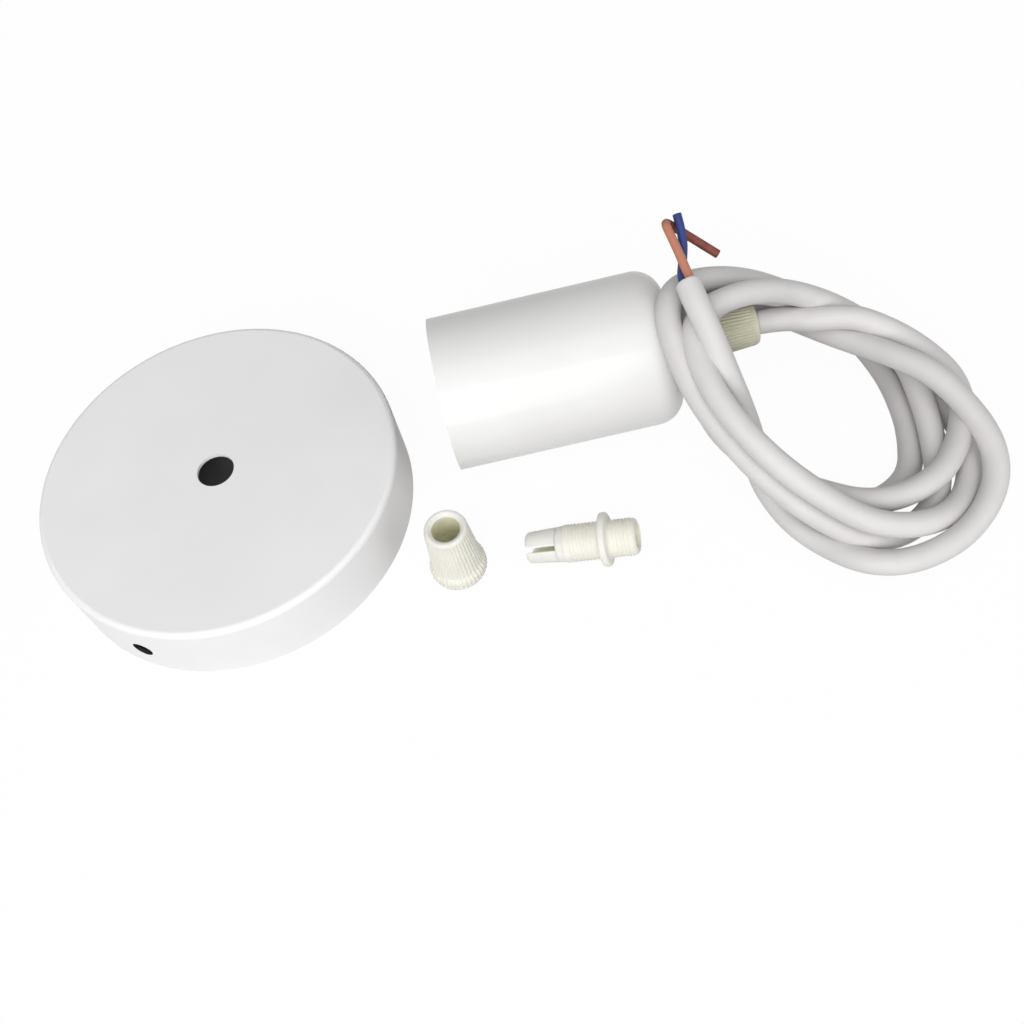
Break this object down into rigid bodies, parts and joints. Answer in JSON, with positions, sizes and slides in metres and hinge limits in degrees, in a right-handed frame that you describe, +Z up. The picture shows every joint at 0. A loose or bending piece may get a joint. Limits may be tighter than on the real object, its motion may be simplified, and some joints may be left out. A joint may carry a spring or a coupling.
{
  "type": "pendant lamp holder",
  "caption": "Pendant lamp holder kit: a ceiling canopy cup, a metal-sleeved screw lamp holder on a coiled two-core cord, and a loose cord grip for the canopy.",
  "frame": {"origin": "middle of the kit's footprint on the table, without the free cord", "axes": "+X along the lamp holder from its mouth to its cord, +Y away from the viewer, +Z up"},
  "size_m": [0.2488, 0.1135, 0.0546],
  "materials": {
    "canopy_paint": "satin white paint",
    "sleeve_paint": "gloss white paint",
    "grip_plastic": "moulded ivory plastic, half gloss",
    "zinc_steel": "zinc plated",
    "porcelain": "glazed white",
    "brass": "bright sheet",
    "copper": "bare copper",
    "sheath": "smooth soft white sheath",
    "brown_insulation": "smooth",
    "blue_insulation": "smooth"
  },
  "bodies": {
    "kit": {"canopy": "canopy_paint", "holder_sleeve": "sleeve_paint", "canopy_grip_nut": "grip_plastic", "canopy_grip_body": "grip_plastic", "holder_grip_body": "grip_plastic", "socket_bracket": "zinc_steel", "bracket_lock_nut": "zinc_steel", "bracket_screws": "zinc_steel", "terminal_screws": "zinc_steel", "socket_core": "porcelain", "screw_shell": "brass", "shell_rivets": "brass", "centre_contact": "brass", "contact_rivet": "brass", "live_terminal": "brass", "neutral_terminal": "brass", "conductor_ends": "copper", "cord_entry": "sheath", "cord_lead": "sheath", "cord_coil": "sheath", "cord_tail": "sheath", "brown_core_inner": "brown_insulation", "brown_core_end": "brown_insulation", "blue_core_inner": "blue_insulation", "blue_core_end": "blue_insulation"},
    "grip_nut": {"holder_grip_nut": "grip_plastic"}
  },
  "joints": [
    {"name": "grip_nut_turn", "type": "hinge", "parent": "kit", "child": "grip_nut", "pos_m": [0.09, 0.007, 0.02075], "axis": [1, 0, 0], "continuous": true}
  ]
}
